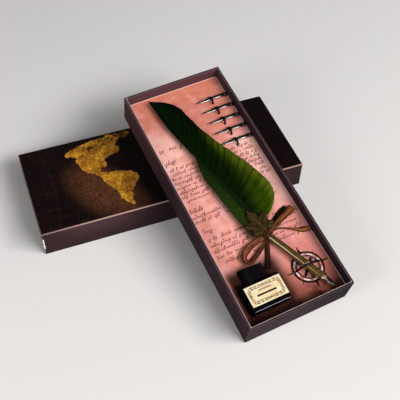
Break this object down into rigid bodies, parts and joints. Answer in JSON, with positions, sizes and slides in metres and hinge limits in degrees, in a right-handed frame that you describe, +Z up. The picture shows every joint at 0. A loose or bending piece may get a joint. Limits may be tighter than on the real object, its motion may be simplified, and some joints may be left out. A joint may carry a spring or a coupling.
{
  "type": "calligraphy set box",
  "caption": "Shallow card box with a lift-off lid, holding a feather dip pen with a ribbon bow and leaf charm, a compass pen rest, spare nibs and a bottle of ink.",
  "frame": {"origin": "under the middle of the whole set, on the table", "axes": "+Z up; +X along the lid's length; +Y from the tray's lower end towards the lid"},
  "size_m": [0.2942, 0.3023, 0.0921],
  "materials": {
    "printed_wrap": "satin",
    "lid_print": "satin",
    "grey_board": "matte",
    "stay_tape": "matte",
    "foam": "matte",
    "aged_card": "matte",
    "elastic": "matte",
    "silver": "polished",
    "old_brass": "satin",
    "cream_brass": "polished",
    "antique_bronze": "satin",
    "gunmetal": "polished",
    "quill": "satin",
    "green_vane": "satin",
    "down": "matte",
    "satin_ribbon": "satin",
    "black_glass": "gloss",
    "ink": "gloss",
    "cream_paper": "matte",
    "cap_plastic": "satin",
    "liner_foam": "matte"
  },
  "bodies": {
    "lid": {"lid_board": "grey_board", "lid_corner_stays": "stay_tape", "lid_wrap": "lid_print"},
    "tray": {"tray_board": "grey_board", "tray_corner_stays": "stay_tape", "tray_wrap": "printed_wrap", "foam_insert": "foam", "printed_card": "aged_card", "nib_strap_1": "elastic", "nib_strap_2": "elastic", "nib_strap_3": "elastic", "nib_strap_4": "elastic", "nib_strap_5": "elastic"},
    "pen": {"pen_barrel": "old_brass", "pen_ferrule": "cream_brass", "quill_shaft": "quill", "feather_wide_vane": "green_vane", "feather_narrow_vane": "green_vane", "feather_down": "down", "leaf_charm": "antique_bronze", "charm_ring": "antique_bronze", "ribbon_knot": "satin_ribbon", "ribbon_loop_right": "satin_ribbon", "ribbon_loop_rear": "satin_ribbon", "ribbon_loop_left": "satin_ribbon", "ribbon_tail_front": "satin_ribbon", "ribbon_tail_right": "satin_ribbon"},
    "nib_unit": {"nib_holder": "silver", "pen_nib": "silver"},
    "compass_rest": {"compass_plate": "gunmetal", "compass_bow": "gunmetal"},
    "ink_bottle": {"ink_bottle": "black_glass", "ink": "ink", "ink_label": "cream_paper"},
    "cap_liner": {"cap_liner": "liner_foam"},
    "ink_cap": {"ink_cap": "cap_plastic"},
    "spare_nib_1": {"spare_nib_base_1": "silver", "spare_nib_1": "silver"},
    "spare_nib_2": {"spare_nib_base_2": "silver", "spare_nib_2": "silver"},
    "spare_nib_3": {"spare_nib_base_3": "silver", "spare_nib_3": "silver"},
    "spare_nib_4": {"spare_nib_base_4": "silver", "spare_nib_4": "silver"},
    "spare_nib_5": {"spare_nib_base_5": "silver", "spare_nib_5": "silver"}
  },
  "joints": [
    {"name": "tray_lift", "type": "slide", "parent": "lid", "child": "tray", "axis": [0, 0, 1], "range_m": [0, 0.1]},
    {"name": "pen_lift", "type": "slide", "parent": "tray", "child": "pen", "axis": [0, -0.191, 0.9816], "range_m": [0, 0.06]},
    {"name": "nib_pull", "type": "slide", "parent": "pen", "child": "nib_unit", "axis": [0.5075, -0.8458, -0.1646], "range_m": [0, 0.0035]},
    {"name": "compass_slide", "type": "slide", "parent": "pen", "child": "compass_rest", "axis": [-0.5075, 0.8458, 0.1646], "range_m": [0, 0.01]},
    {"name": "bottle_lift", "type": "slide", "parent": "tray", "child": "ink_bottle", "axis": [0, -0.191, 0.9816], "range_m": [0, 0.05]},
    {"name": "cap_rise", "type": "slide", "parent": "ink_bottle", "child": "cap_liner", "axis": [-0.1132, 0.9753, 0.1898], "range_m": [0, 0.0036]},
    {"name": "cap_turn", "type": "hinge", "parent": "cap_liner", "child": "ink_cap", "pos_m": [0.03753, -0.10334, 0.02945], "axis": [-0.1132, 0.9753, 0.1898], "range_deg": [0, 540]},
    {"name": "spare_nib_slide_1", "type": "slide", "parent": "tray", "child": "spare_nib_1", "axis": [-0.9936, -0.1111, -0.0216], "range_m": [0, 0.022]},
    {"name": "spare_nib_slide_2", "type": "slide", "parent": "tray", "child": "spare_nib_2", "axis": [-0.9936, -0.1111, -0.0216], "range_m": [0, 0.022]},
    {"name": "spare_nib_slide_3", "type": "slide", "parent": "tray", "child": "spare_nib_3", "axis": [-0.9936, -0.1111, -0.0216], "range_m": [0, 0.022]},
    {"name": "spare_nib_slide_4", "type": "slide", "parent": "tray", "child": "spare_nib_4", "axis": [-0.9936, -0.1111, -0.0216], "range_m": [0, 0.022]},
    {"name": "spare_nib_slide_5", "type": "slide", "parent": "tray", "child": "spare_nib_5", "axis": [-0.9936, -0.1111, -0.0216], "range_m": [0, 0.022]}
  ],
  "couplings": [
    {"joint": "cap_rise", "follows": "cap_turn", "m_per_rad": 0.00038197}
  ]
}
